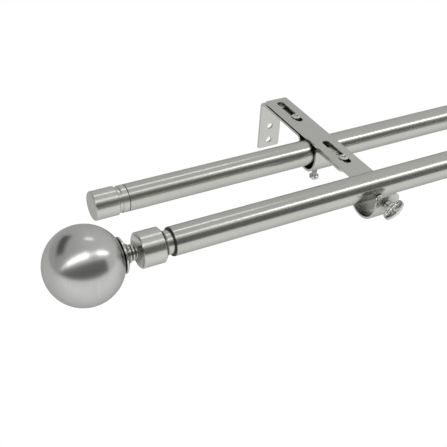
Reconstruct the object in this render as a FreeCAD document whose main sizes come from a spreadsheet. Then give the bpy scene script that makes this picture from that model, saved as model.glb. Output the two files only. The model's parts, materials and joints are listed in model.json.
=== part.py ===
# Double curtain pole: two steel tubes on a pair of folded strip brackets
#
# The frame: X runs along the poles, Y points at the wall and Z points up. The origin is the middle of
# the left bracket's two wall holes, on the face that touches the wall. All lengths are in millimetres.

import FreeCAD
import Part
import math
import os
import Sketcher

# How a sketch numbers its axes and the points of an element
FIRST_AXIS, SECOND_AXIS = range(-1, -3, -1)
START, END, CENTRE = range(1, 4)

NECK_RINGS = 3
INNER_CONES = 8

# Driving dimensions

SIZES = [
    ("pole_diameter", 19, "outside of both tubes"),
    ("pole_wall", 0.7, "tube wall"),
    ("front_pole_length", 700, "front tube, end to end"),
    ("front_overhang", 153, "front tube beyond the middle of each bracket"),
    ("back_overhang", 155, "back tube beyond the middle of each bracket"),
    ("front_projection", 135.2, "wall to the axis of the front tube"),
    ("back_projection", 68.7, "wall to the axis of the back tube"),
    ("strip_width", 19, "width of both folded strips"),
    ("bracket_thickness", 1.8, "thickness of the wall bracket's strip"),
    ("extension_thickness", 1.5, "thickness of the extension arm's strip"),
    ("arm_gap", 1.4, "between the bracket's arm and the extension arm above it"),
    ("slide_gap", 0.05, "between faces that slide on each other"),
    ("thread_gap", 0.05, "between a screw and its tapped hole, on the radius"),
    ("thread_collar_diameter", 6.6, "collar drawn up round each tapped hole"),
    ("arm_height", 30, "top of the bracket's arm above the middle of the wall holes"),
    ("tab_gap", 0.4, "between the bracket's tab and the extension arm above it"),
    ("wall_hole_pitch", 13, "between the two wall holes"),
    ("wall_hole_diameter", 5, "wall hole"),
    ("wall_edge_margin", 6.3, "lower wall hole to the end of the plate"),
    ("wall_corner_radius", 1.5, "lower corners of the wall plate"),
    ("wall_bend_radius", 3.1, "bend from wall plate to arm, middle of the strip"),
    ("dip_clearance", 0.5, "back tube to each leg of the dip"),
    ("dip_floor_gap", 3.8, "back tube to the floor of the dip"),
    ("dip_rear_bend", 3.5, "bend from arm to dip, middle of the strip"),
    ("dip_front_bend", 3, "bend from dip to tab, middle of the strip"),
    ("pole_top_gap", 0.25, "back tube to the extension arm above it"),
    ("rear_screw_reach", 36.4, "wall to the rear arm screw"),
    ("front_screw_reach", 100.4, "wall to the front arm screw"),
    ("spare_rear_hole", 22, "rear arm screw back to its spare hole"),
    ("spare_front_hole", 11, "front arm screw back to its spare hole"),
    ("tab_margin", 11.5, "front arm screw to the end of the tab"),
    ("tab_corner_radius", 4, "corners of the tab"),
    ("arm_screw_diameter", 4, "thread of the arm screws"),
    ("arm_screw_length", 6, "arm screw below its head"),
    ("arm_head_diameter", 7, "low pan head of the arm screws"),
    ("arm_head_height", 1.3, "low pan head of the arm screws"),
    ("arm_head_edge", 0.5, "straight edge of that head, under its slope"),
    ("arm_head_flat", 4.6, "flat on top of that head, across"),
    ("arm_recess_depth", 0.8, "cross recess of that head"),
    ("set_screw_diameter", 4, "thread of the set screw"),
    ("set_screw_length", 13, "set screw above its head"),
    ("set_head_diameter", 7.2, "pan head of the set screw"),
    ("set_head_height", 2.8, "pan head of the set screw"),
    ("set_head_edge", 1.6, "straight edge of that head, over its slope"),
    ("set_head_flat", 4.8, "flat at the bottom of that head, across"),
    ("set_recess_depth", 1.4, "cross recess of that head"),
    ("recess_length", 4, "cross recess, tip to tip"),
    ("recess_width", 0.9, "cross recess, across one arm"),
    ("screw_lead", 0.5, "chamfer at the tip of every screw"),
    ("tip_gap", 0.1, "screw tip to the tube that it holds"),
    ("rear_end_gap", 6, "wall to the rear end of the extension arm"),
    ("rear_corner_radius", 1.5, "rear corners of the extension arm"),
    ("slot_clearance", 0.8, "arm screw to each side of its slot"),
    ("slot_end_spare", 0.3, "arm screw to the end of its slot, at the end of the travel"),
    ("travel_out", 23, "extension arm towards the room"),
    ("travel_in", 5, "extension arm towards the wall"),
    ("axis_drop", 2.5, "top of the extension arm down to the axis of the front tube"),
    ("cradle_bend", 2.4, "bend from extension arm to cradle, middle of the strip"),
    ("cradle_spare", 7.6, "cradle wider than the front tube"),
    ("cradle_floor_gap", 9.3, "front tube to the floor of the cradle"),
    ("cradle_lip", 2.8, "end of the cradle above the axis of the front tube"),
    ("lip_corner_radius", 4, "corners of the cradle's free end"),
    ("seat_gap", 0.05, "front tube to the rear leg of the cradle"),
    ("thumb_diameter", 5, "thread of the thumb screw"),
    ("thumb_drop", 4, "thumb screw below the axis of the front tube"),
    ("thumb_shank_length", 12, "thumb screw from tip to hub"),
    ("thumb_hub_diameter", 7.5, "hub of the thumb screw"),
    ("thumb_hub_length", 2.6, "hub of the thumb screw"),
    ("thumb_hub_chamfer", 0.5, "edges of the hub"),
    ("wing_span", 16, "flat head of the thumb screw, across"),
    ("wing_depth", 8.6, "flat head of the thumb screw, along the screw"),
    ("wing_tip_width", 4, "rounded tip of the flat head, along the screw"),
    ("wing_tip_length", 0.6, "rounded tip of the flat head, across"),
    ("wing_thickness", 2.2, "flat head of the thumb screw"),
    ("wing_turn", 40, "flat head from level, in degrees"),
    ("dimple_diameter", 4, "finger dimple in each lobe"),
    ("dimple_depth", 0.5, "finger dimple in each lobe"),
    ("dimple_pitch", 9.4, "between the two dimples"),
    ("ball_diameter", 50, "finial ball"),
    ("ball_wall", 1, "shell of the finial ball"),
    ("boss_diameter", 10, "threaded boss inside the ball"),
    ("boss_length", 12, "threaded boss inside the ball"),
    ("joint_gap", 0.05, "between turned pieces that are screwed together"),
    ("saucer_diameter", 23, "rim of the saucer behind the ball"),
    ("saucer_edge", 1.2, "edge of the saucer"),
    ("saucer_seat_diameter", 14, "where the saucer leaves the ball"),
    ("saucer_lip_gap", 0.8, "rim of the saucer off the ball, along the pole"),
    ("saucer_rise", 2, "far face of the saucer beyond the ball"),
    ("saucer_face_diameter", 13.4, "far face of the saucer"),
    ("neck_diameter", 12, "first ring of the neck"),
    ("ring_step", 1.5, "each ring of the neck smaller than the last"),
    ("ring_pitch", 2.4, "between the rings of the neck"),
    ("ring_width", 1.8, "each ring of the neck"),
    ("ring_edge", 0.5, "rounded-off edges of each ring"),
    ("groove_depth", 1, "between the rings of the neck"),
    ("stud_diameter", 5, "stud through the finial"),
    ("stem_gap", 0.8, "neck to the rim of the collar"),
    ("collar_diameter", 23, "finial collar"),
    ("collar_length", 15.2, "finial collar, rim to shoulder"),
    ("collar_rim", 0.9, "rim round the dish of the collar"),
    ("collar_edge", 0.6, "chamfer on the edges of the collar"),
    ("dish_depth", 5, "dish in the collar"),
    ("dish_floor_diameter", 11, "floor of the dish"),
    ("web_thickness", 6, "floor of the dish to the bore behind it"),
    ("shoulder_length", 2.6, "slope from collar to spigot"),
    ("spigot_shown", 4, "spigot between shoulder and liner"),
    ("spigot_insert", 18, "spigot inside the tube"),
    ("spigot_wall", 1.6, "spigot wall"),
    ("liner_gap", 0.05, "liner to the tube and to the spigot"),
    ("liner_wall", 0.9, "plastic liner"),
    ("liner_flange", 0.6, "flange of the finial's liner on the end of the tube"),
    ("flange_inset", 0.2, "that flange below the outside of the tube"),
    ("cap_flange", 0.3, "flange of the end cap's liner on the end of the tube"),
    ("cap_flange_inset", 0.3, "that flange below the outside of the tube"),
    ("cap_diameter", 20.2, "head of the end cap"),
    ("cap_length", 17, "head of the end cap"),
    ("cap_edge", 0.5, "chamfer on the edges of the end cap"),
    ("cap_groove_depth", 1.2, "groove behind the head, below the head"),
    ("cap_groove_length", 2.5, "groove behind the head"),
    ("cap_ring_length", 4.6, "ring between groove and liner"),
    ("cap_ring_edge", 0.3, "chamfer on the edges of the ring"),
    ("cap_face_wall", 4, "face of the end cap to its bore"),
]


class Size:
    """A length that carries its number and the sheet expression it comes from."""

    def __init__(self, value, text):
        self.value = float(value)
        self.text = text

    def join(self, other, sign, value):
        right = other.text if isinstance(other, Size) else repr(other)
        return Size(value, "(" + self.text + " " + sign + " " + right + ")")

    def __add__(self, other):
        return self.join(other, "+", self.value + number(other))

    def __sub__(self, other):
        return self.join(other, "-", self.value - number(other))

    def __mul__(self, other):
        return self.join(other, "*", self.value * number(other))

    def __truediv__(self, other):
        return self.join(other, "/", self.value / number(other))

    def __neg__(self):
        return Size(-self.value, "(0 - " + self.text + ")")


def number(thing):
    return thing.value if isinstance(thing, Size) else float(thing)


def other_side(long_side, short_side):
    """The third side of a right triangle, from its longest side and one more."""
    value = math.sqrt(long_side.value ** 2 - short_side.value ** 2)
    text = "sqrt(" + long_side.text + " * " + long_side.text + " - "
    text += short_side.text + " * " + short_side.text + ")"
    return Size(value, text)


def radius_over(half_chord, rise):
    """The radius of an arc that rises by so much over a chord of twice the given half."""
    return (half_chord * half_chord + rise * rise) / (rise * 2)


doc = FreeCAD.newDocument("DoubleCurtainPole")
sheet = doc.addObject("Spreadsheet::Sheet", "Sizes")


def fill_sheet():
    sizes = {}
    for row, (alias, value, meaning) in enumerate(SIZES, start=1):
        sheet.set("A" + str(row), meaning)
        sheet.set("B" + str(row), str(value))
        sheet.setAlias("B" + str(row), alias)
        sizes[alias] = Size(value, "Sizes." + alias)
    doc.recompute()
    return sizes


size = fill_sheet()
ZERO = Size(0, "0")

# Sizes that follow from the driving dimensions

half_bracket = size["bracket_thickness"] / 2
half_extension = size["extension_thickness"] / 2
half_width = size["strip_width"] / 2
pole_radius = size["pole_diameter"] / 2
bore_radius = pole_radius - size["pole_wall"]

arm_top = size["arm_height"]
extension_bottom = arm_top + size["arm_gap"]
collar_top = extension_bottom - size["slide_gap"]
tab_top = extension_bottom - size["tab_gap"]
extension_top = extension_bottom + size["extension_thickness"]
front_axis = extension_top - size["axis_drop"]
back_axis = extension_bottom - size["pole_top_gap"] - pole_radius
bracket_spacing = size["front_pole_length"] - size["front_overhang"] * 2
back_pole_length = bracket_spacing + size["back_overhang"] * 2

plate_bottom = size["wall_hole_pitch"] / 2 + size["wall_edge_margin"]
dip_radius = pole_radius + size["dip_clearance"] + half_bracket
dip_floor = back_axis - pole_radius - size["dip_floor_gap"]
dip_centre = dip_floor - half_bracket + dip_radius
cradle_radius = (size["pole_diameter"] + size["cradle_spare"]) / 2 + half_extension
cradle_floor = front_axis - pole_radius - size["cradle_floor_gap"]
cradle_centre = cradle_floor - half_extension + cradle_radius
cradle_rear_leg = size["front_projection"] - pole_radius - size["seat_gap"] - half_extension
cradle_front_leg = cradle_rear_leg + cradle_radius * 2
lip_top = front_axis + size["cradle_lip"]

arm_screw_radius = size["arm_screw_diameter"] / 2
arm_hole_radius = arm_screw_radius + size["thread_gap"]
set_hole_radius = size["set_screw_diameter"] / 2 + size["thread_gap"]
thumb_hole_radius = size["thumb_diameter"] / 2 + size["thread_gap"]
slot_radius = arm_screw_radius + size["slot_clearance"]
slot_rear = size["travel_out"] + size["slot_end_spare"] - size["slot_clearance"]
slot_front = size["travel_in"] + size["slot_end_spare"] - size["slot_clearance"]
thumb_axis = front_axis - size["thumb_drop"]
thumb_tip = size["front_projection"] + pole_radius + size["tip_gap"]

# Stations of the finial, from the centre of the ball towards the tube

ball_radius = size["ball_diameter"] / 2
stud_radius = size["stud_diameter"] / 2
stud_hole_radius = stud_radius + size["thread_gap"]
saucer_end = ball_radius + size["saucer_rise"]
neck_start = saucer_end + size["joint_gap"]
neck_end = neck_start + size["ring_pitch"] * (NECK_RINGS - 1) + size["ring_width"]
collar_start = neck_end + size["stem_gap"]
dish_floor = collar_start + size["dish_depth"]
web_end = dish_floor + size["web_thickness"]
collar_end = collar_start + size["collar_length"]
spigot_start = collar_end + size["shoulder_length"]
flange_start = spigot_start + size["spigot_shown"]
tube_start = flange_start + size["liner_flange"]
spigot_end = tube_start + size["spigot_insert"]
liner_radius = bore_radius - size["liner_gap"]
liner_bore = liner_radius - size["liner_wall"]
spigot_radius = liner_bore - size["liner_gap"]
finial_reach = size["front_overhang"] + tube_start

# Stations of the end cap, from its face towards the tube

cap_groove_end = size["cap_length"] + size["cap_groove_length"]
cap_ring_end = cap_groove_end + size["cap_ring_length"]
cap_tube_start = cap_ring_end + size["cap_flange"]
cap_spigot_end = cap_tube_start + size["spigot_insert"]
cap_reach = size["back_overhang"] + cap_tube_start

made = []


# Making sketches and features


def new_body(name):
    body = doc.addObject("PartDesign::Body", name)
    body.Label = name
    made.append(body)
    return body


def plane_of(body, role):
    for feature in body.Origin.OriginFeatures:
        if feature.Role == role:
            return feature
    raise ValueError("no plane " + role)


def new_sketch(body, name, role, lift=None):
    sketch = body.newObject("Sketcher::SketchObject", body.Name + "_" + name)
    sketch.AttachmentSupport = [(plane_of(body, role), "")]
    sketch.MapMode = "FlatFace"
    if lift is not None:
        sketch.setExpression("AttachmentOffset.Base.z", lift.text)
    return sketch


def bind(sketch, kind, places, length):
    """Add one dimension to a sketch and tie it to the sheet."""
    index = sketch.addConstraint(Sketcher.Constraint(kind, *places, length.value))
    sketch.setExpression("Constraints[" + str(index) + "]", length.text)


def pin_point(sketch, element, point, across, up):
    """Fix one point of a sketch at a place that the sheet gives."""
    if across is ZERO:
        sketch.addConstraint(Sketcher.Constraint("PointOnObject", element, point, SECOND_AXIS))
    else:
        bind(sketch, "DistanceX", (FIRST_AXIS, START, element, point), across)
    if up is ZERO:
        sketch.addConstraint(Sketcher.Constraint("PointOnObject", element, point, FIRST_AXIS))
    else:
        bind(sketch, "DistanceY", (FIRST_AXIS, START, element, point), up)


def arc_between(first, last, radius, side):
    """The shorter arc from first to last, bulging to the left of the way there or to the right."""
    chord = last - first
    middle = first + chord * 0.5
    left = FreeCAD.Vector(-chord.y, chord.x, 0).normalize()
    rise = radius - math.sqrt(max(radius ** 2 - (chord.Length / 2) ** 2, 0))
    return Part.Arc(first, middle + left * (rise if side == "left" else -rise), last)


def draw_outline(sketch, corners):
    """Closed outline: each corner is (across, up), or (across, up, radius, side) where an arc leaves."""
    points = [FreeCAD.Vector(number(corner[0]), number(corner[1]), 0) for corner in corners]
    for index, corner in enumerate(corners):
        after = points[(index + 1) % len(points)]
        if len(corner) == 2:
            sketch.addGeometry(Part.LineSegment(points[index], after))
        else:
            sketch.addGeometry(arc_between(points[index], after, corner[2].value, corner[3]))
    ends = [ends_of_element(sketch, index, point) for index, point in enumerate(points)]
    for index, corner in enumerate(corners):
        following = (index + 1) % len(corners)
        join = (index, ends[index][1], following, ends[following][0])
        sketch.addConstraint(Sketcher.Constraint("Coincident", *join))
    for index, corner in enumerate(corners):
        pin_point(sketch, index, ends[index][0], corner[0], corner[1])
        if len(corner) > 2:
            bind(sketch, "Radius", (index,), corner[2])


def ends_of_element(sketch, index, first):
    """Which end of an element comes first, because an arc always runs anticlockwise."""
    if sketch.getPoint(index, START).distanceToPoint(first) < 1e-6:
        return START, END
    return END, START


def turned_piece(name, corners):
    """A piece turned about its own X axis."""
    body = new_body(name)
    sketch = new_sketch(body, "profile", "XY_Plane")
    draw_outline(sketch, corners)
    turn = body.newObject("PartDesign::Revolution", name + "_turn")
    turn.Profile = sketch
    turn.ReferenceAxis = (sketch, ["H_Axis"])
    turn.Angle = 360
    doc.recompute()
    return body


def cut(body, sketch, depth, name):
    """Pocket a sketch into a body and make sure that something came away."""
    doc.recompute()
    before = body.Shape.Volume
    pocket = body.newObject("PartDesign::Pocket", body.Name + "_" + name)
    pocket.Profile = sketch
    pocket.setExpression("Length", depth.text)
    doc.recompute()
    if not body.Shape.Volume < before - 1e-6:
        raise ValueError(pocket.Name + " cuts nothing")
    return pocket


def draw_circle(sketch, across, up, radius):
    centre = FreeCAD.Vector(number(across), number(up), 0)
    index = sketch.addGeometry(Part.Circle(centre, FreeCAD.Vector(0, 0, 1), radius.value))
    bind(sketch, "Radius", (index,), radius)
    pin_point(sketch, index, CENTRE, across, up)


def round_corners(body, thickness, radius, corners, name):
    """Round the edges through the strip at the given corners, which lie on its middle line."""
    tip = body.Tip
    chosen = []
    for index, edge in enumerate(tip.Shape.Edges, start=1):
        middle = edge.CenterOfMass
        for corner in corners:
            close = middle.distanceToPoint(corner) < thickness.value / 2
            if close and abs(edge.Length - thickness.value) < 1e-3:
                chosen.append("Edge" + str(index))
    if len(chosen) != len(corners):
        raise ValueError(name + " found " + str(len(chosen)) + " edges")
    fillet = body.newObject("PartDesign::Fillet", body.Name + "_" + name)
    fillet.Base = (tip, chosen)
    fillet.setExpression("Radius", radius.text)
    doc.recompute()


def place(body, across, back, up, turned=False):
    """Put a body at its place in the frame, turned half round about the upright if asked."""
    if turned:
        body.Placement = FreeCAD.Placement(FreeCAD.Vector(), FreeCAD.Vector(0, 0, 1), 180)
    body.setExpression("Placement.Base.x", across.text)
    body.setExpression("Placement.Base.y", back.text)
    body.setExpression("Placement.Base.z", up.text)


# The folded strips


def beside(point, heading, distance, side):
    """The point at a distance to the left of the heading, or to the right where side is -1."""
    across, up = point[0], point[1]
    if heading[1]:
        across = across - distance * (heading[1] * side)
    if heading[0]:
        up = up + distance * (heading[0] * side)
    return across, up


def folded_outline(half, start, heading, steps):
    """Outline of a folded strip of half that thickness each way, from its middle line.

    start is the first point and heading its direction, as (across, up). Each step is the next point:
    (across, up) after a straight run, and (across, up, radius) after a bend by a right angle.
    """
    nodes = [(start, heading)]
    turns = []
    for step in steps:
        here, heading = nodes[-1]
        turn = 0
        if len(step) == 3:
            way = (number(step[0]) - number(here[0]), number(step[1]) - number(here[1]))
            turn = 1 if heading[0] * way[1] > heading[1] * way[0] else -1
            heading = (-heading[1] * turn, heading[0] * turn)
        nodes.append((step, heading))
        turns.append(turn)
    last = len(steps)
    corners = []
    for index in range(last + 1):
        corner = beside(*nodes[index], half, 1)
        if index < last and turns[index]:
            turn = turns[index]
            corner += (steps[index][2] - half * turn, "right" if turn > 0 else "left")
        corners.append(corner)
    for index in range(last, -1, -1):
        corner = beside(*nodes[index], half, -1)
        if index > 0 and turns[index - 1]:
            turn = turns[index - 1]
            corner += (steps[index - 1][2] + half * turn, "left" if turn > 0 else "right")
        corners.append(corner)
    return corners


def folded_strip(body, half, start, heading, steps):
    """Pad the outline of a folded strip to the strip's width, the same to both sides."""
    outline = new_sketch(body, "outline", "YZ_Plane")
    draw_outline(outline, folded_outline(half, start, heading, steps))
    strip = body.newObject("PartDesign::Pad", body.Name + "_strip")
    strip.Profile = outline
    strip.Midplane = True
    strip.setExpression("Length", size["strip_width"].text)
    doc.recompute()


def wall_bracket(name, across):
    """One strip: wall plate, arm, dip round the back tube and tab under the extension arm."""
    body = new_body(name)
    thickness = size["bracket_thickness"]
    arm_line = arm_top - half_bracket
    tab_line = tab_top - half_bracket
    wall_bend = size["wall_bend_radius"]
    rear_bend = size["dip_rear_bend"]
    front_bend = size["dip_front_bend"]
    rear_leg = size["back_projection"] - dip_radius
    front_leg = size["back_projection"] + dip_radius
    tab_end = size["front_screw_reach"] + size["tab_margin"]

    folded_strip(body, half_bracket, (-half_bracket, -plate_bottom), (0, 1), [
        (-half_bracket, arm_line - wall_bend),
        (-half_bracket - wall_bend, arm_line, wall_bend),
        (-(rear_leg - rear_bend), arm_line),
        (-rear_leg, arm_line - rear_bend, rear_bend),
        (-rear_leg, dip_centre),
        (-size["back_projection"], dip_centre - dip_radius, dip_radius),
        (-front_leg, dip_centre, dip_radius),
        (-front_leg, tab_line - front_bend),
        (-(front_leg + front_bend), tab_line, front_bend),
        (-tab_end, tab_line),
    ])

    wall_holes = new_sketch(body, "wall_holes", "XZ_Plane", thickness)
    for height in (size["wall_hole_pitch"] / 2, -size["wall_hole_pitch"] / 2):
        draw_circle(wall_holes, ZERO, height, size["wall_hole_diameter"] / 2)
    cut(body, wall_holes, thickness, "wall_hole_cut")

    rear = size["rear_screw_reach"]
    front = size["front_screw_reach"]
    tapped_pair(body, "arm", arm_top, rear, rear - size["spare_rear_hole"])
    tapped_pair(body, "tab", tab_top, front, front - size["spare_front_hole"])

    floor_hole = new_sketch(body, "floor_hole", "XY_Plane", dip_floor + half_bracket)
    draw_circle(floor_hole, ZERO, -size["back_projection"], set_hole_radius)
    cut(body, floor_hole, thickness * 2, "floor_hole_cut")

    low = number(-plate_bottom)
    side = half_width.value
    plate_middle = number(-half_bracket)
    round_corners(body, thickness, size["wall_corner_radius"],
                  [FreeCAD.Vector(x, plate_middle, low) for x in (-side, side)], "plate_corners")
    round_corners(body, thickness, size["tab_corner_radius"],
                  [FreeCAD.Vector(x, -tab_end.value, tab_line.value) for x in (-side, side)],
                  "tab_corners")
    place(body, across, ZERO, ZERO)


def tapped_pair(body, name, surface, *reaches):
    """Two tapped holes through the strip, each with a collar drawn up to carry the extension arm."""
    collars = new_sketch(body, name + "_collars", "XY_Plane", surface)
    tapped = new_sketch(body, name + "_tapped", "XY_Plane", collar_top)
    for reach in reaches:
        draw_circle(collars, ZERO, -reach, size["thread_collar_diameter"] / 2)
        draw_circle(tapped, ZERO, -reach, arm_hole_radius)
    drawn = body.newObject("PartDesign::Pad", body.Name + "_" + name + "_drawn")
    drawn.Profile = collars
    drawn.setExpression("Length", (collar_top - surface).text)
    cut(body, tapped, collar_top - surface + size["bracket_thickness"], name + "_tapped_cut")


def extension_arm(name, across):
    """One strip that lies on the bracket's arm: two slots, and the cradle for the front tube."""
    body = new_body(name)
    thickness = size["extension_thickness"]
    line = extension_bottom + half_extension
    bend = size["cradle_bend"]
    cradle_middle = cradle_rear_leg + cradle_radius

    folded_strip(body, half_extension, (-size["rear_end_gap"], line), (-1, 0), [
        (-(cradle_rear_leg - bend), line),
        (-cradle_rear_leg, line - bend, bend),
        (-cradle_rear_leg, cradle_centre),
        (-cradle_middle, cradle_centre - cradle_radius, cradle_radius),
        (-cradle_front_leg, cradle_centre, cradle_radius),
        (-cradle_front_leg, lip_top),
    ])

    slots = new_sketch(body, "slots", "XY_Plane", extension_top)
    for reach in (size["rear_screw_reach"], size["front_screw_reach"]):
        draw_slot(slots, reach - slot_rear, reach + slot_front, slot_radius)
    cut(body, slots, thickness, "slot_cut")

    thumb_hole = new_sketch(body, "thumb_hole", "XZ_Plane", cradle_front_leg + half_extension)
    draw_circle(thumb_hole, ZERO, thumb_axis, thumb_hole_radius)
    cut(body, thumb_hole, thickness * 2, "thumb_hole_cut")

    side = half_width.value
    rear_end = -size["rear_end_gap"].value
    round_corners(body, thickness, size["rear_corner_radius"],
                  [FreeCAD.Vector(x, rear_end, line.value) for x in (-side, side)], "rear_corners")
    leg = -cradle_front_leg.value
    round_corners(body, thickness, size["lip_corner_radius"],
                  [FreeCAD.Vector(x, leg, lip_top.value) for x in (-side, side)], "lip_corners")
    place(body, across, ZERO, ZERO)


def draw_slot(sketch, near, far, radius):
    """A round-ended slot along Y, from its centre at near to its centre at far."""
    first = sketch.GeometryCount
    top = FreeCAD.Vector(0, -near.value, 0)
    bottom = FreeCAD.Vector(0, -far.value, 0)
    aside = FreeCAD.Vector(radius.value, 0, 0)
    upwards = FreeCAD.Vector(0, radius.value, 0)
    sketch.addGeometry(Part.Arc(top + aside, top + upwards, top - aside))
    sketch.addGeometry(Part.LineSegment(top - aside, bottom - aside))
    sketch.addGeometry(Part.Arc(bottom - aside, bottom - upwards, bottom + aside))
    sketch.addGeometry(Part.LineSegment(bottom + aside, top + aside))
    for index in range(4):
        join = (first + index, END, first + (index + 1) % 4, START)
        sketch.addConstraint(Sketcher.Constraint("Tangent", *join))
    for index, reach in ((0, near), (2, far)):
        pin_point(sketch, first + index, CENTRE, ZERO, -reach)
        bind(sketch, "Radius", (first + index,), radius)


# Screws


def pan_head_screw(name, kind):
    """A machine screw along its own X axis: the head's top at zero, the tip away from it."""
    head = size[kind + "_head_diameter"] / 2
    head_height = size[kind + "_head_height"]
    thread = size[kind + "_screw_diameter"] / 2
    end = head_height + size[kind + "_screw_length"]
    lead = size["screw_lead"]
    dome = head_height - size[kind + "_head_edge"]
    flat = size[kind + "_head_flat"] / 2
    body = turned_piece(name, [
        (ZERO, ZERO), (ZERO, flat), (dome, head), (head_height, head), (head_height, thread),
        (end - lead, thread), (end, thread - lead), (end, ZERO),
    ])
    cross = new_sketch(body, "recess", "YZ_Plane")
    arm = size["recess_length"] / 2
    slim = size["recess_width"] / 2
    draw_outline(cross, [
        (-slim, -arm), (slim, -arm), (slim, -slim), (arm, -slim), (arm, slim), (slim, slim),
        (slim, arm), (-slim, arm), (-slim, slim), (-arm, slim), (-arm, -slim), (-slim, -slim),
    ])
    recess = body.newObject("PartDesign::Pocket", name + "_recess_cut")
    recess.Profile = cross
    recess.setExpression("Length", size[kind + "_recess_depth"].text)
    recess.Reversed = True
    before = body.Shape.Volume
    doc.recompute()
    if not body.Shape.Volume < before - 1e-6:
        raise ValueError(name + " has no recess")
    return body


def upright(body, across, back, up, head_up):
    """Stand a screw on its axis, with its head at the top or at the bottom."""
    body.Placement = FreeCAD.Placement(FreeCAD.Vector(), FreeCAD.Vector(0, 1, 0), 90 if head_up else -90)
    place(body, across, back, up)


def arm_screw(name, across, reach):
    """Through a slot of the extension arm into a tapped hole of the bracket."""
    body = pan_head_screw(name, "arm")
    head_top = extension_top + size["slide_gap"] + size["arm_head_height"]
    upright(body, across, -reach, head_top, True)


def set_screw(name, across):
    """Up through the floor of the dip, to the underside of the back tube."""
    body = pan_head_screw(name, "set")
    tip = back_axis - pole_radius - size["tip_gap"]
    head_bottom = tip - size["set_screw_length"] - size["set_head_height"]
    upright(body, across, -size["back_projection"], head_bottom, False)


def thumb_screw(name, across):
    """Turned shank and hub along Y, with a flat oval head that has a finger dimple in each lobe."""
    body = new_body(name)
    thread = size["thumb_diameter"] / 2
    hub = size["thumb_hub_diameter"] / 2
    edge = size["thumb_hub_chamfer"]
    lead = size["screw_lead"]
    shank = size["thumb_shank_length"]
    hub_end = shank + size["thumb_hub_length"]
    profile = new_sketch(body, "profile", "XY_Plane")
    draw_outline(profile, [
        (ZERO, ZERO), (thread - lead, ZERO), (thread, -lead), (thread, -shank), (hub - edge, -shank),
        (hub, -(shank + edge)), (hub, -(hub_end - edge)), (hub - edge, -hub_end), (ZERO, -hub_end),
    ])
    turn = body.newObject("PartDesign::Revolution", name + "_turn")
    turn.Profile = profile
    turn.ReferenceAxis = (profile, ["V_Axis"])
    turn.Angle = 360
    doc.recompute()

    oval = new_sketch(body, "oval", "XY_Plane")
    span = size["wing_span"] / 2
    depth = size["wing_depth"] / 2
    middle = -(shank + depth)
    tip_half = size["wing_tip_width"] / 2
    tip_across = span - size["wing_tip_length"]
    low = middle - tip_half
    high = middle + tip_half
    long_arc = radius_over(tip_across, depth - tip_half)
    tip_arc = radius_over(tip_half, size["wing_tip_length"])
    draw_outline(oval, [
        (-tip_across, low, long_arc, "right"), (tip_across, low, tip_arc, "right"),
        (tip_across, high, long_arc, "right"), (-tip_across, high, tip_arc, "right"),
    ])
    wing = body.newObject("PartDesign::Pad", name + "_wing")
    wing.Profile = oval
    wing.Midplane = True
    wing.setExpression("Length", size["wing_thickness"].text)
    doc.recompute()

    for face, lift in (("top", size["wing_thickness"] / 2), ("bottom", -size["wing_thickness"] / 2)):
        dimples = new_sketch(body, face + "_dimples", "XY_Plane", lift)
        for across_dimple in (size["dimple_pitch"] / 2, -size["dimple_pitch"] / 2):
            draw_circle(dimples, across_dimple, middle, size["dimple_diameter"] / 2)
        pocket = body.newObject("PartDesign::Pocket", name + "_" + face + "_dimple_cut")
        pocket.Profile = dimples
        pocket.Reversed = face == "bottom"
        pocket.setExpression("Length", size["dimple_depth"].text)
        doc.recompute()

    body.Placement = FreeCAD.Placement(FreeCAD.Vector(), FreeCAD.Vector(0, -1, 0), size["wing_turn"].value)
    body.setExpression("Placement.Rotation.Angle", size["wing_turn"].text)
    place(body, across, -thumb_tip, thumb_axis)


# Tubes


def pole(name, length, left_end, projection, height):
    """A round tube along X."""
    body = new_body(name)
    ring = new_sketch(body, "ring", "YZ_Plane")
    draw_circle(ring, ZERO, ZERO, pole_radius)
    draw_circle(ring, ZERO, ZERO, bore_radius)
    tube = body.newObject("PartDesign::Pad", name + "_tube")
    tube.Profile = ring
    tube.setExpression("Length", length.text)
    doc.recompute()
    place(body, left_end, -projection, height)


# The finial


def finial_ball():
    """Hollow ball with a threaded boss inside, where the stud goes in. Its inside is short cones."""
    inner = ball_radius - size["ball_wall"]
    boss = size["boss_diameter"] / 2
    mouth = other_side(ball_radius, stud_hole_radius)
    boss_end = ball_radius - size["boss_length"]
    corners = [
        (-ball_radius, ZERO, ball_radius, "left"), (ZERO, ball_radius, ball_radius, "left"),
        (mouth, stud_hole_radius), (boss_end, stud_hole_radius), (boss_end, boss),
        (other_side(inner, boss), boss),
    ]
    for step in range(1, INNER_CONES):
        angle = math.pi * step / INNER_CONES
        corners.append((inner * math.cos(angle), inner * math.sin(angle)))
    corners.append((-inner, ZERO))
    return corners


def finial_saucer():
    """Dished washer that follows the ball in the middle and stands off it at the rim."""
    seat = ball_radius + size["joint_gap"]
    seat_end = size["saucer_seat_diameter"] / 2
    rim = size["saucer_diameter"] / 2
    rim_start = other_side(seat, rim) + size["saucer_lip_gap"]
    return [
        (other_side(seat, stud_hole_radius), stud_hole_radius, seat, "right"),
        (other_side(seat, seat_end), seat_end), (rim_start, rim), (rim_start + size["saucer_edge"], rim),
        (saucer_end, size["saucer_face_diameter"] / 2), (saucer_end, stud_hole_radius),
    ]


def finial_neck():
    """Rings, each smaller than the last, with grooves between them."""
    corners = [(neck_start, stud_hole_radius)]
    edge = size["ring_edge"]
    for index in range(NECK_RINGS):
        peak = size["neck_diameter"] / 2 - size["ring_step"] / 2 * index
        foot = peak - size["groove_depth"]
        start = neck_start + size["ring_pitch"] * index
        end = start + size["ring_width"]
        corners += [(start, foot), (start, peak - edge), (start + edge, peak)]
        corners += [(end - edge, peak), (end, peak - edge), (end, foot)]
    corners.append((neck_end, stud_hole_radius))
    return corners


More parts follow.
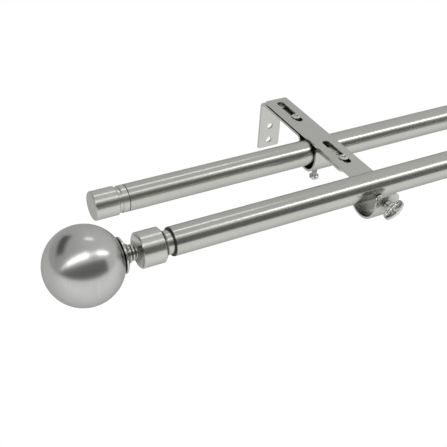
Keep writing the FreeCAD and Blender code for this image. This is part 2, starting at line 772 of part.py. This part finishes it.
def finial_collar():
    """Cup with a dish towards the ball, a sloping shoulder and a hollow spigot."""
    outside = size["collar_diameter"] / 2
    edge = size["collar_edge"]
    inside = outside - size["collar_rim"]
    hollow = spigot_radius - size["spigot_wall"]
    return [
        (collar_start, inside), (collar_start, outside - edge), (collar_start + edge, outside),
        (collar_end - edge, outside), (collar_end, outside - edge), (spigot_start, spigot_radius),
        (spigot_end, spigot_radius), (spigot_end, hollow), (web_end, hollow),
        (web_end, stud_hole_radius), (dish_floor, stud_hole_radius),
        (dish_floor, size["dish_floor_diameter"] / 2),
    ]


def finial_stud():
    """Threaded rod from the boss in the ball to the web of the collar."""
    start = ball_radius - size["boss_length"]
    lead = size["screw_lead"]
    return [
        (start, ZERO), (start, stud_radius - lead), (start + lead, stud_radius),
        (web_end - lead, stud_radius), (web_end, stud_radius - lead), (web_end, ZERO),
    ]


def liner(flange_from, tube_from, flange_inset):
    """Plastic bush in the end of a tube, with a flange on the end face."""
    inner_end = tube_from + size["spigot_insert"]
    flange_radius = pole_radius - flange_inset
    return [
        (flange_from, liner_bore), (flange_from, flange_radius), (tube_from, flange_radius),
        (tube_from, liner_radius), (inner_end, liner_radius), (inner_end, liner_bore),
    ]


def end_cap():
    """Plug of the back tube: head, groove, ring and hollow spigot."""
    head = size["cap_diameter"] / 2
    edge = size["cap_edge"]
    groove = head - size["cap_groove_depth"]
    ring_edge = size["cap_ring_edge"]
    hollow = spigot_radius - size["spigot_wall"]
    return [
        (ZERO, ZERO), (ZERO, head - edge), (edge, head), (size["cap_length"] - edge, head),
        (size["cap_length"], head - edge), (size["cap_length"], groove), (cap_groove_end, groove),
        (cap_groove_end, pole_radius - ring_edge), (cap_groove_end + ring_edge, pole_radius),
        (cap_ring_end - ring_edge, pole_radius), (cap_ring_end, pole_radius - ring_edge),
        (cap_ring_end, spigot_radius), (cap_spigot_end, spigot_radius), (cap_spigot_end, hollow),
        (size["cap_face_wall"], hollow), (size["cap_face_wall"], ZERO),
    ]


# The whole pole set


def build_side(side, bracket_at, finial_at, cap_at, turned):
    wall_bracket(side + "_wall_bracket", bracket_at)
    extension_arm(side + "_extension_arm", bracket_at)
    arm_screw(side + "_rear_arm_screw", bracket_at, size["rear_screw_reach"])
    arm_screw(side + "_front_arm_screw", bracket_at, size["front_screw_reach"])
    set_screw(side + "_set_screw", bracket_at)
    thumb_screw(side + "_thumb_screw", bracket_at)
    front_pieces = [
        ("_finial_ball", finial_ball()), ("_finial_saucer", finial_saucer()),
        ("_finial_neck", finial_neck()), ("_finial_stud", finial_stud()),
        ("_finial_collar", finial_collar()),
        ("_pole_liner", liner(flange_start, tube_start, size["flange_inset"])),
    ]
    for ending, corners in front_pieces:
        body = turned_piece(side + ending, corners)
        place(body, finial_at, -size["front_projection"], front_axis, turned)
    back_pieces = [
        ("_end_cap", end_cap()),
        ("_cap_liner", liner(cap_ring_end, cap_tube_start, size["cap_flange_inset"])),
    ]
    for ending, corners in back_pieces:
        body = turned_piece(side + ending, corners)
        place(body, cap_at, -size["back_projection"], back_axis, turned)


def check_and_write():
    doc.recompute()
    for item in doc.Objects:
        if "Invalid" in item.State or "Error" in item.State:
            raise ValueError(item.Name + " failed")
    for body in made:
        shape = body.Shape
        if shape.isNull() or not shape.isValid() or len(shape.Solids) != 1:
            raise ValueError(body.Label + " is not one valid solid")
    os.makedirs("parts", exist_ok=True)
    for body in made:
        body.Shape.exportStep("parts/" + body.Label + ".step")


build_side("left", ZERO, -finial_reach, -cap_reach, False)
build_side("right", bracket_spacing, bracket_spacing + finial_reach, bracket_spacing + cap_reach, True)
pole("front_pole", size["front_pole_length"], -size["front_overhang"],
     size["front_projection"], front_axis)
pole("back_pole", back_pole_length, -size["back_overhang"], size["back_projection"], back_axis)
check_and_write()
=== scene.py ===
import json
import math
from typing import NamedTuple

import bmesh
import bpy
from mathutils import Matrix, Vector


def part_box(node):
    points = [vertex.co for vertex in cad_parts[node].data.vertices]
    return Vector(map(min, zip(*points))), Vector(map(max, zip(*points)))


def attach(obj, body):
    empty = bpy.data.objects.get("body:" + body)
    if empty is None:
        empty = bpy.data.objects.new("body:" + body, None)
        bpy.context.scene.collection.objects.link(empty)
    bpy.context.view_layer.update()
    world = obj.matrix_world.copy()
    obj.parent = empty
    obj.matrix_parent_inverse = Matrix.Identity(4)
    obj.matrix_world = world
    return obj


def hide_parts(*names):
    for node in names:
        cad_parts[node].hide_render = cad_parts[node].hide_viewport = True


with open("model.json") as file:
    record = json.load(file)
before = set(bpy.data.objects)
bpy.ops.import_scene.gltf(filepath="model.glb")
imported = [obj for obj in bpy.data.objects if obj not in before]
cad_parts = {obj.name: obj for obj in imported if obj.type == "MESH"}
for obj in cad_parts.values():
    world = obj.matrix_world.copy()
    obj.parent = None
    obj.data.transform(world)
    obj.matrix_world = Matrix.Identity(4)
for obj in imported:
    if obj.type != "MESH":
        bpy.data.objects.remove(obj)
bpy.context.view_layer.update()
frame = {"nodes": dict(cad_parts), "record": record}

NODES = frame["nodes"]
BODIES = frame["record"]["behaviour"]["bodies"]
BODY_OF = {node: body for body, nodes in BODIES.items() for node in nodes}
SIDES = ("left", "right")
PLAIN = (1.0, 1.0, 1.0)
WHITE = (1.0, 1.0, 1.0, 1.0)

# The camera of the photograph: its place in metres and the directions of its axes

FOCAL_PIXELS = 870.0
IMAGE_PIXELS = 447.0
SENSOR_MM = 36.0
NEAREST_SEEN = 0.01
CAMERA_PLACE = Vector((-0.3410, -0.5176, 0.3584))
CAMERA_RIGHT = Vector((0.87949, -0.47315, 0.05133))
CAMERA_UP = Vector((0.24416, 0.54114, 0.80471))
CAMERA_BACK = Vector((-0.40852, -0.69520, 0.59144))

# The floor lies well below the poles; most of its white is its own, and the rest takes the shadow

FLOOR_HEIGHT = -0.45
FLOOR_SIZE = 30.0
FLOOR_COLOUR = (0.93, 0.93, 0.93, 1.0)
FLOOR_OWN_SHARE = 0.86

# Levels of the floor: as the camera sees it, and as the metal mirrors it in front of the poles and behind

FLOOR_SEEN = 1.06
FRONT_MIRRORED = 0.97
FRONT_PLACE = -0.65
REAR_MIRRORED = 0.70
REAR_PLACE = 0.05

# Levels of the room: its light from all sides, and the ceiling that the metal mirrors, darker on the left

ROOM_LEVEL = 0.6
CEILING_LEVEL = 0.56
CEILING_SLOPE = 0.14

# Soft boxes above the poles, each aimed straight at them: place along X and Y, width, height and radiance

POLES_Y = -0.13
POLES_Z = 0.03
BOXES_Z = 1.60
ROW_Y = -0.87
SOFT_BOXES = {
    "tail_box": (-5.50, ROW_Y, 4.80, 0.34, 1.4),
    "left_box": (-1.50, ROW_Y, 2.90, 0.44, 2.4),
    "link_box": (0.37, ROW_Y, 0.84, 0.18, 1.3),
    "right_box": (1.80, ROW_Y, 2.00, 0.26, 3.6),
    "rear_box": (0.46, 0.50, 0.60, 0.12, 2.4),
}

# Dark flags that the metal mirrors: place, place along X that they are aimed at, width, height and shade

FLAGS = {
    "front_flag": ((-8.70, -2.34, 0.99), -8.70, 22.6, 1.95, 0.24),
    "rear_flag": ((-0.48, 0.205, 0.355), -0.21, 0.50, 0.22, 0.12),
}

# Plated metal is darker than a mirror where it is seen edge on, and its edges catch the light as if rounded

EDGE_TINT = (0.7, 0.7, 0.7, 1.0)
EDGE_ROUNDING = 0.0003
EDGE_SAMPLES = 6

# Painted shade in the nooks, such as the slots and the cradle: the plating colour is darkened where it is
# enclosed, fully in the deepest nooks and not at all in the most open

NOOK_SIZE = 0.006
NOOK_SAMPLES = 8
NOOK_DEEP = 0.25
NOOK_OPEN = 0.85
PAINTED_NOOK_SHADE = (0.34, 0.32, 0.28)
TURNED_PAINTED_NOOK_SHADE = (0.62, 0.60, 0.56)

# Relief of the grain lines, patches in the polish, and dents of a cast surface

NOISE_LOW = 0.25
NOISE_HIGH = 0.75
GRAIN_DEPTH = 0.0002
PATCH_SCALE = 28.0
PATCH_SHARE = 0.3
DENT_SCALE = 420.0
DENT_STRENGTH = 0.4
DENT_DEPTH = 0.0008


class Finish(NamedTuple):
    """Plating of one kind of piece: its two tones, its grain lines, how rough and deep they are, and the
    painted shade in its nooks.
    """

    dark: tuple
    light: tuple
    grain: tuple
    grain_scale: float
    rough: tuple
    bump: float
    # Colour of the painted shade that darkens the plating in nooks
    painted_nook_shade: tuple = PAINTED_NOOK_SHADE
    cast: bool = False


TUBE = Finish(dark=(0.52, 0.525, 0.487), light=(0.62, 0.625, 0.582), grain=(1.0, 0.03, 0.03),
              grain_scale=2400.0, rough=(0.17, 0.25), bump=0.04)
TURNED = Finish(dark=(0.56, 0.565, 0.525), light=(0.67, 0.675, 0.63), grain=(1.0, 0.04, 0.04),
                grain_scale=2600.0, rough=(0.20, 0.28), bump=0.05, painted_nook_shade=TURNED_PAINTED_NOOK_SHADE)
BALL = Finish(dark=(0.54, 0.545, 0.53), light=(0.62, 0.625, 0.605), grain=(1.0, 0.06, 0.06),
              grain_scale=1600.0, rough=(0.22, 0.27), bump=0.015, painted_nook_shade=TURNED_PAINTED_NOOK_SHADE)
STRIP = Finish(dark=(0.56, 0.565, 0.535), light=(0.64, 0.645, 0.615), grain=(1.0, 0.05, 0.05),
               grain_scale=2200.0, rough=(0.22, 0.31), bump=0.04)
SCREW = Finish(dark=(0.66, 0.66, 0.64), light=(0.76, 0.76, 0.74), grain=PLAIN,
               grain_scale=900.0, rough=(0.16, 0.26), bump=0.05)

# Black plastic with the fine texture of its mould

PLASTIC_DARK = (0.006, 0.006, 0.006)
PLASTIC_LIGHT = (0.014, 0.014, 0.014)
PLASTIC_ROUGH = (0.45, 0.60)
MOULD_SCALE = 2600.0
MOULD_BUMP = 0.25
MOULD_DEPTH = 0.0001

# Threads are cut into the shanks of these screws: axis and radius of each kind

ALONG_Y = 1
ALONG_Z = 2
SCREWS = {
    "rear_arm_screw": (ALONG_Z, 0.0020),
    "front_arm_screw": (ALONG_Z, 0.0020),
    "set_screw": (ALONG_Z, 0.0020),
    "thumb_screw": (ALONG_Y, 0.0025),
}
THREAD_PITCH = 0.0008
THREAD_DEPTH = 0.00032
RINGS_PER_TURN = 8
SHORTEST_SHANK = 4 * THREAD_PITCH
WELD = 1e-6
ROUND_WITHIN = 10 * WELD

# Faces that meet at a smaller angle are shaded as one curved surface

SMOOTH_ANGLE = math.radians(30)

# Sockets of a Mix node for colours

MIX_SHARE = 0
MIX_FIRST = 6
MIX_SECOND = 7
MIX_RESULT = 2


def new_object(name, data):
    """An object of the scene that holds the given mesh, lamp or camera."""
    thing = bpy.data.objects.new(name, data)
    bpy.context.scene.collection.objects.link(thing)
    return thing


def aim(thing, place, target):
    """Put a lamp or a card at its place and turn it towards a target."""
    thing.location = place
    thing.rotation_mode = "QUATERNION"
    thing.rotation_quaternion = (Vector(target) - Vector(place)).to_track_quat("-Z", "Y")


def make_camera():
    data = bpy.data.cameras.new("camera")
    data.sensor_width = SENSOR_MM
    data.lens = FOCAL_PIXELS * SENSOR_MM / IMAGE_PIXELS
    data.clip_start = NEAREST_SEEN
    camera = new_object("camera", data)
    turn = Matrix((CAMERA_RIGHT, CAMERA_UP, CAMERA_BACK)).transposed()
    camera.matrix_world = Matrix.Translation(CAMERA_PLACE) @ turn.to_4x4()
    bpy.context.scene.camera = camera


# Materials


class Graph:
    """The node tree of one material or of the world."""

    def __init__(self, tree):
        self.tree = tree
        tree.nodes.clear()

    def add(self, kind, inputs=None, **settings):
        """A new node; an input takes a value, or a link from another node's socket."""
        node = self.tree.nodes.new(kind)
        for name, value in settings.items():
            setattr(node, name, value)
        for name, value in (inputs or {}).items():
            if isinstance(value, bpy.types.NodeSocket):
                self.tree.links.new(value, node.inputs[name])
            else:
                node.inputs[name].default_value = value
        return node

    def math(self, operation, first, second):
        return self.add("ShaderNodeMath", {0: first, 1: second}, operation=operation).outputs[0]

    def shown_ray(self):
        """1 for camera, glossy and transmission rays."""
        path = self.add("ShaderNodeLightPath")
        both = self.math("MAXIMUM", path.outputs["Is Camera Ray"], path.outputs["Is Glossy Ray"])
        return self.math("MAXIMUM", both, path.outputs["Is Transmission Ray"])

    def noise(self, scale, stretch, detail, roughness=0.6):
        """Noise over the object's own coordinates, finer along the axes with a large stretch."""
        place = self.add("ShaderNodeTexCoord")
        mapping = self.add("ShaderNodeMapping", {"Vector": place.outputs["Object"], "Scale": stretch})
        node = self.add("ShaderNodeTexNoise", {
            "Vector": mapping.outputs[0], "Scale": scale, "Detail": detail, "Roughness": roughness})
        return node.outputs[0]

    def spread(self, value, low, high, source_low=NOISE_LOW, source_high=NOISE_HIGH):
        """Map a value to the range from low to high; the source range is that of a noise."""
        node = self.add("ShaderNodeMapRange", {
            "Value": value, "From Min": source_low, "From Max": source_high,
            "To Min": low, "To Max": high})
        return node.outputs[0]

    def tint(self, share, dark, light):
        """Mix two colours by a share from 0 to 1."""
        node = self.add("ShaderNodeMix", {
            MIX_SHARE: share, MIX_FIRST: (*dark, 1.0), MIX_SECOND: (*light, 1.0)}, data_type="RGBA")
        return node.outputs[MIX_RESULT]

    def product(self, first, second):
        """Multiply two colours."""
        node = self.add("ShaderNodeMix", {
            MIX_SHARE: 1.0, MIX_FIRST: first, MIX_SECOND: second}, data_type="RGBA", blend_type="MULTIPLY")
        return node.outputs[MIX_RESULT]


def new_material(name):
    material = bpy.data.materials.new(name)
    material.use_nodes = True
    return material, Graph(material.node_tree)


def brushed_metal(name, finish):
    """Satin plated metal: fine grain lines, soft patches in the polish, a faint relief, and painted shade in
    the nooks.
    """
    material, graph = new_material(name)
    lines = graph.noise(finish.grain_scale, finish.grain, detail=4.0, roughness=0.7)
    patches = graph.noise(PATCH_SCALE, PLAIN, detail=2.0)
    blend = graph.math("ADD", graph.math("MULTIPLY", lines, 1.0 - PATCH_SHARE),
                       graph.math("MULTIPLY", patches, PATCH_SHARE))
    plating = graph.tint(graph.spread(blend, 0.0, 1.0), finish.dark, finish.light)
    # Painted shade: where ambient occlusion finds a nook, the plating colour is darkened towards the nook
    # shade colour
    nook = graph.add("ShaderNodeAmbientOcclusion", {"Distance": NOOK_SIZE}, samples=NOOK_SAMPLES)
    openness = graph.spread(nook.outputs["AO"], 0.0, 1.0, NOOK_DEEP, NOOK_OPEN)
    colour = graph.product(plating, graph.tint(openness, finish.painted_nook_shade, PLAIN))
    roughness = graph.spread(blend, *finish.rough)
    surface = graph.add("ShaderNodeBevel", {"Radius": EDGE_ROUNDING}, samples=EDGE_SAMPLES).outputs[0]
    if finish.cast:
        dents = graph.noise(DENT_SCALE, PLAIN, detail=1.0)
        surface = graph.add("ShaderNodeBump", {
            "Strength": DENT_STRENGTH, "Distance": DENT_DEPTH, "Height": dents, "Normal": surface}).outputs[0]
    relief = graph.add("ShaderNodeBump", {
        "Strength": finish.bump, "Distance": GRAIN_DEPTH, "Height": lines, "Normal": surface})
    shader = graph.add("ShaderNodeBsdfPrincipled", {
        "Base Color": colour, "Metallic": 1.0, "Roughness": roughness,
        "Specular Tint": EDGE_TINT, "Normal": relief.outputs[0]})
    graph.add("ShaderNodeOutputMaterial", {"Surface": shader.outputs[0]})
    return material


def screw_metal(kind):
    """Bright nickel of one kind of screw; the thumb screw is a casting."""
    return brushed_metal(kind + "_nickel", SCREW._replace(cast=kind == "thumb_screw"))


def moulded_plastic(name):
    material, graph = new_material(name)
    texture = graph.noise(MOULD_SCALE, PLAIN, detail=2.0)
    colour = graph.tint(graph.spread(texture, 0.0, 1.0), PLASTIC_DARK, PLASTIC_LIGHT)
    relief = graph.add("ShaderNodeBump", {"Strength": MOULD_BUMP, "Distance": MOULD_DEPTH, "Height": texture})
    shader = graph.add("ShaderNodeBsdfPrincipled", {
        "Base Color": colour, "Roughness": graph.spread(texture, *PLASTIC_ROUGH),
        "Normal": relief.outputs[0]})
    graph.add("ShaderNodeOutputMaterial", {"Surface": shader.outputs[0]})
    return material


def dress(material, names):
    for name in names:
        materials = NODES[name].data.materials
        materials.clear()
        materials.append(material)


def dress_all():
    tube = brushed_metal("tube_satin_nickel", TUBE)
    turned = brushed_metal("turned_satin_nickel", TURNED)
    ball = brushed_metal("ball_satin_nickel", BALL)
    strip = brushed_metal("strip_satin_nickel", STRIP)
    stud = screw_metal("finial_stud")
    plastic = moulded_plastic("liner_black")
    dress(tube, ["front_pole", "back_pole"])
    for side in SIDES:
        dress(strip, [side + "_wall_bracket", side + "_extension_arm"])
        dress(ball, [side + "_finial_ball"])
        dress(turned, [side + "_" + name for name in (
            "finial_saucer", "finial_neck", "finial_collar", "end_cap")])
        dress(stud, [side + "_finial_stud"])
        dress(plastic, [side + "_pole_liner", side + "_cap_liner"])
    for kind in SCREWS:
        dress(screw_metal(kind), [side + "_" + kind for side in SIDES])


def smooth(mesh):
    """Smooth shading, apart from the sharp edges."""
    for face in mesh.polygons:
        face.use_smooth = True
    mesh.set_sharp_from_angle(angle=SMOOTH_ANGLE)


# Thread turns


class Shank:
    """The plain round part of a screw's mesh, and its place round the screw's axis."""

    def __init__(self, shape, node, kind):
        self.shape = shape
        self.axis, self.radius = SCREWS[kind]
        self.across = [index for index in range(3) if index != self.axis]
        low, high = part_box(node)
        self.centre = [(low[index] + high[index]) / 2 for index in range(3)]
        self.walls = [face for face in shape.faces if self.is_wall(face)]
        ends = {vertex for face in self.walls for vertex in face.verts}
        self.start = min(vertex.co[self.axis] for vertex in ends)
        self.end = max(vertex.co[self.axis] for vertex in ends)
        self.first_rim = self.rim(ends, self.start)
        self.last_rim = self.rim(ends, self.end)

    def polar(self, vertex):
        """Distance from the screw's axis, and angle round it."""
        first, second = (vertex.co[index] - self.centre[index] for index in self.across)
        return math.hypot(first, second), math.atan2(second, first)

    def is_wall(self, face):
        """A long face whose corners all lie on the shank's radius."""
        places = [vertex.co[self.axis] for vertex in face.verts]
        round_it = all(abs(self.polar(vertex)[0] - self.radius) < ROUND_WITHIN for vertex in face.verts)
        return round_it and max(places) - min(places) > SHORTEST_SHANK

    def rim(self, ends, place):
        """The corners at one end of the walls, in order round the axis."""
        found = [vertex for vertex in ends if abs(vertex.co[self.axis] - place) < WELD]
        return sorted(found, key=lambda vertex: self.polar(vertex)[1])

    def valley(self, along, angle):
        """Depth of the thread at a place: a smooth helix that runs out towards both ends."""
        run_out = min(along - self.start, self.end - along) / THREAD_PITCH
        phase = along / THREAD_PITCH * 2 * math.pi - angle
        return THREAD_DEPTH * min(run_out, 1.0) * (0.5 - 0.5 * math.cos(phase))

    def turn_vertex(self, along, angle):
        reach = self.radius - self.valley(along, angle)
        place = list(self.centre)
        place[self.axis] = along
        place[self.across[0]] += reach * math.cos(angle)
        place[self.across[1]] += reach * math.sin(angle)
        return self.shape.verts.new(place)

    def cut_thread(self):
        """Put rings of thread between the two rims, in place of the plain walls."""
        angles = [self.polar(vertex)[1] for vertex in self.first_rim]
        bmesh.ops.delete(self.shape, geom=self.walls, context="FACES")
        count = round((self.end - self.start) / THREAD_PITCH * RINGS_PER_TURN)
        rings = [self.first_rim]
        for step in range(1, count):
            along = self.start + (self.end - self.start) * step / count
            rings.append([self.turn_vertex(along, angle) for angle in angles])
        rings.append(self.last_rim)
        for lower, upper in zip(rings, rings[1:]):
            for index in range(-1, len(angles) - 1):
                self.shape.faces.new((lower[index], lower[index + 1], upper[index + 1], upper[index]))


def thread_screw(side, kind):
    """A screw with real turns on its shank, which stands for the plain one."""
    node = side + "_" + kind
    shape = bmesh.new()
    shape.from_mesh(NODES[node].data)
    bmesh.ops.remove_doubles(shape, verts=shape.verts, dist=WELD)
    Shank(shape, node, kind).cut_thread()
    bmesh.ops.recalc_face_normals(shape, faces=shape.faces)
    mesh = bpy.data.meshes.new(node + "_threaded")
    shape.to_mesh(mesh)
    shape.free()
    mesh.materials.append(NODES[node].data.materials[0])
    smooth(mesh)
    screw = new_object(node + "_threaded", mesh)
    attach(screw, BODY_OF[node])
    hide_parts(node)


# Floor, world and lamps


def rectangle(name, width, height, level=0.0):
    """A flat rectangle about the origin, at a level along Z."""
    across, up = width / 2, height / 2
    corners = [(-across, -up, level), (across, -up, level), (across, up, level), (-across, up, level)]
    mesh = bpy.data.meshes.new(name)
    mesh.from_pydata(corners, [], [(0, 1, 2, 3)])
    return new_object(name, mesh)


def floor_level(graph):
    """Brightness of the floor: white to the camera, and a grade along Y as the metal mirrors it."""
    place = graph.add("ShaderNodeTexCoord")
    parts = graph.add("ShaderNodeSeparateXYZ", {"Vector": place.outputs["Object"]})
    mirrored = graph.spread(parts.outputs["Y"], FRONT_MIRRORED, REAR_MIRRORED, FRONT_PLACE, REAR_PLACE)
    path = graph.add("ShaderNodeLightPath")
    change = graph.math("MULTIPLY", path.outputs["Is Glossy Ray"],
                        graph.math("SUBTRACT", FLOOR_SEEN, mirrored))
    return graph.math("SUBTRACT", FLOOR_SEEN, change)


def make_floor():
    floor = rectangle("floor", FLOOR_SIZE, FLOOR_SIZE, FLOOR_HEIGHT)
    material, graph = new_material("floor_white")
    diffuse = graph.add("ShaderNodeBsdfDiffuse", {"Color": FLOOR_COLOUR})
    own = graph.add("ShaderNodeEmission", {"Color": WHITE, "Strength": floor_level(graph)})
    share = graph.math("MULTIPLY", graph.shown_ray(), FLOOR_OWN_SHARE)
    mix = graph.add("ShaderNodeMixShader", {0: share, 1: diffuse.outputs[0], 2: own.outputs[0]})
    graph.add("ShaderNodeOutputMaterial", {"Surface": mix.outputs[0]})
    floor.data.materials.append(material)


def make_world():
    """White to the camera; the metal mirrors a greyer room, darker on the left."""
    world = bpy.data.worlds.new("studio")
    bpy.context.scene.world = world
    world.use_nodes = True
    graph = Graph(world.node_tree)
    way = graph.add("ShaderNodeTexCoord")
    parts = graph.add("ShaderNodeSeparateXYZ", {"Vector": way.outputs["Generated"]})
    slope = graph.math("MULTIPLY", parts.outputs["X"], CEILING_SLOPE)
    ceiling = graph.math("ADD", slope, CEILING_LEVEL)
    path = graph.add("ShaderNodeLightPath")
    seen = graph.math("MULTIPLY", path.outputs["Is Camera Ray"], 1.0 - ROOM_LEVEL)
    mirrored = graph.math("MULTIPLY", path.outputs["Is Glossy Ray"],
                          graph.math("SUBTRACT", ceiling, ROOM_LEVEL))
    level = graph.math("ADD", graph.math("ADD", seen, mirrored), ROOM_LEVEL)
    back = graph.add("ShaderNodeBackground", {"Color": WHITE, "Strength": level})
    graph.add("ShaderNodeOutputWorld", {"Surface": back.outputs[0]})


def soft_box(name, across, away, width, height, radiance):
    """An area lamp above the poles whose face shines with the given radiance."""
    data = bpy.data.lights.new(name, "AREA")
    data.shape = "RECTANGLE"
    data.size = width
    data.size_y = height
    data.energy = radiance * math.pi * width * height
    aim(new_object(name, data), (across, away, BOXES_Z), (across, POLES_Y, POLES_Z))


def dark_flag(name, place, target_x, width, height, shade):
    """A dark card outside the picture that only the metal's reflections show."""
    flag = rectangle(name, width, height)
    aim(flag, place, (target_x, POLES_Y, POLES_Z))
    material, graph = new_material(name)
    diffuse = graph.add("ShaderNodeBsdfDiffuse", {"Color": (shade, shade, shade, 1.0)})
    graph.add("ShaderNodeOutputMaterial", {"Surface": diffuse.outputs[0]})
    flag.data.materials.append(material)
    flag.visible_camera = False
    flag.visible_diffuse = False
    flag.visible_shadow = False


bpy.context.scene.view_settings.view_transform = "Standard"
make_camera()
for node in NODES.values():
    smooth(node.data)
dress_all()
for side in SIDES:
    for kind in SCREWS:
        thread_screw(side, kind)
make_floor()
make_world()
for name, numbers in SOFT_BOXES.items():
    soft_box(name, *numbers)
for name, numbers in FLAGS.items():
    dark_flag(name, *numbers)
